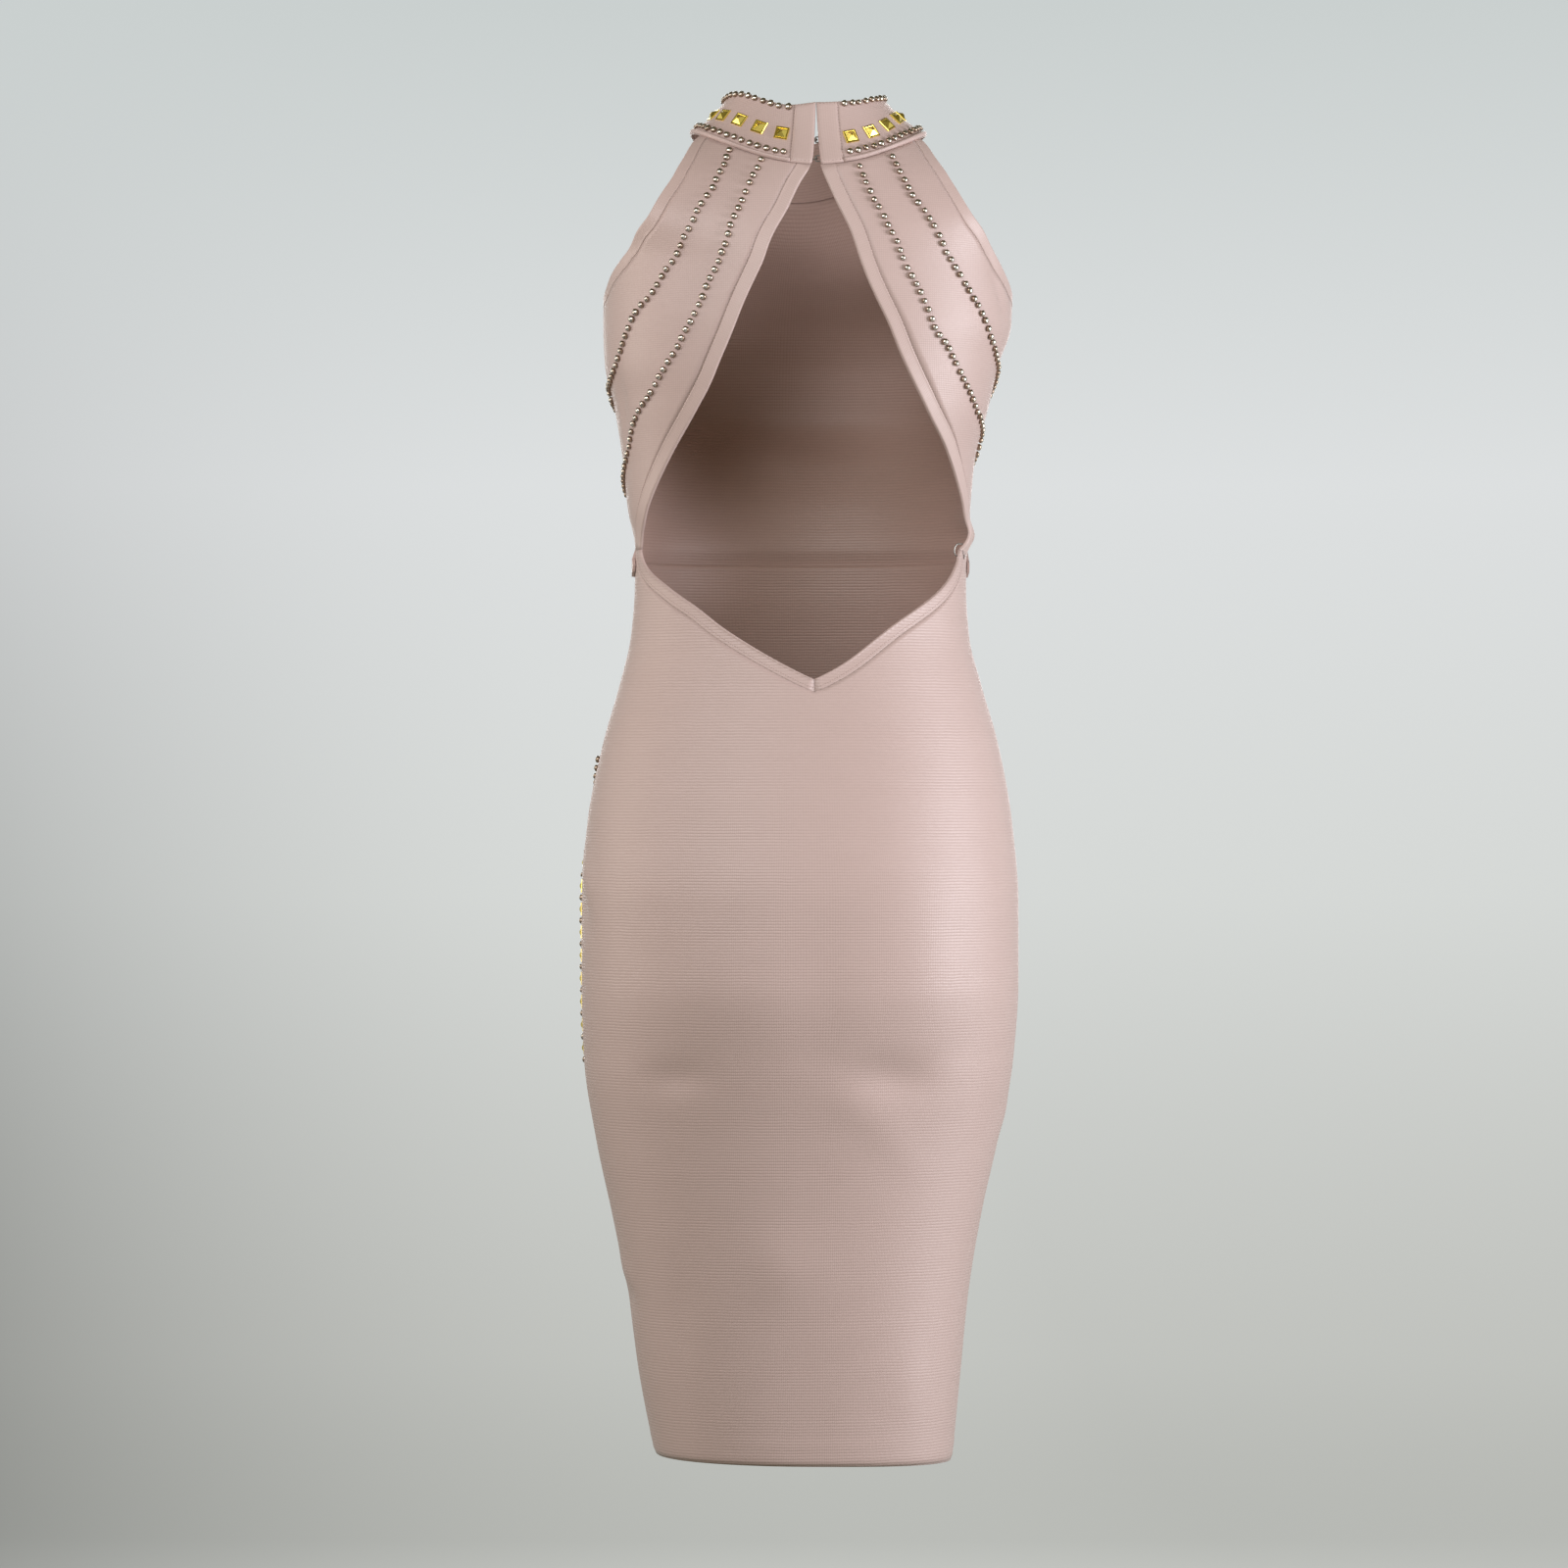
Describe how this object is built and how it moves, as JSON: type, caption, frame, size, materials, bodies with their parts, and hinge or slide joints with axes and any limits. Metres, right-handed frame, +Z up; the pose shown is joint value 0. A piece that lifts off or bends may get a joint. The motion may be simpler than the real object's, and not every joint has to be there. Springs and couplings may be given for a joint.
{
  "type": "bodycon dress",
  "caption": "Sleeveless knee-length bodycon dress in ribbed bandage knit, with a studded stand collar and an open back between broad straps.",
  "frame": {"origin": "in the middle of the neck, near the height where the collar is sewn on, where the wearer holds the dress up", "axes": "+Z up, -Y the wearer's front, +X the wearer's left"},
  "size_m": [0.3119, 0.2482, 0.9698],
  "materials": {
    "blush_knit": "fine horizontal ribs with a satin sheen",
    "blush_strip": "folded knit strip, slightly paler, with a satin sheen",
    "silvered_wire": "bright silvered wire"
  },
  "bodies": {
    "root": {"collar": "blush_knit", "collar_tab_left": "blush_strip", "collar_tab_right": "blush_strip", "collar_hook_1": "silvered_wire", "collar_hook_2": "silvered_wire", "collar_eye_1": "silvered_wire", "collar_eye_2": "silvered_wire", "back_strap_left": "blush_knit", "back_strap_right": "blush_knit", "armhole_strip_left": "blush_strip", "armhole_strip_right": "blush_strip", "back_opening_strip_left": "blush_strip", "back_opening_strip_right": "blush_strip", "bodice_front": "blush_knit", "waist_strip_left": "blush_strip", "waist_strip_right": "blush_strip", "waist_loop_right": "silvered_wire", "skirt_back": "blush_knit", "skirt_front": "blush_knit"}
  },
  "joints": []
}
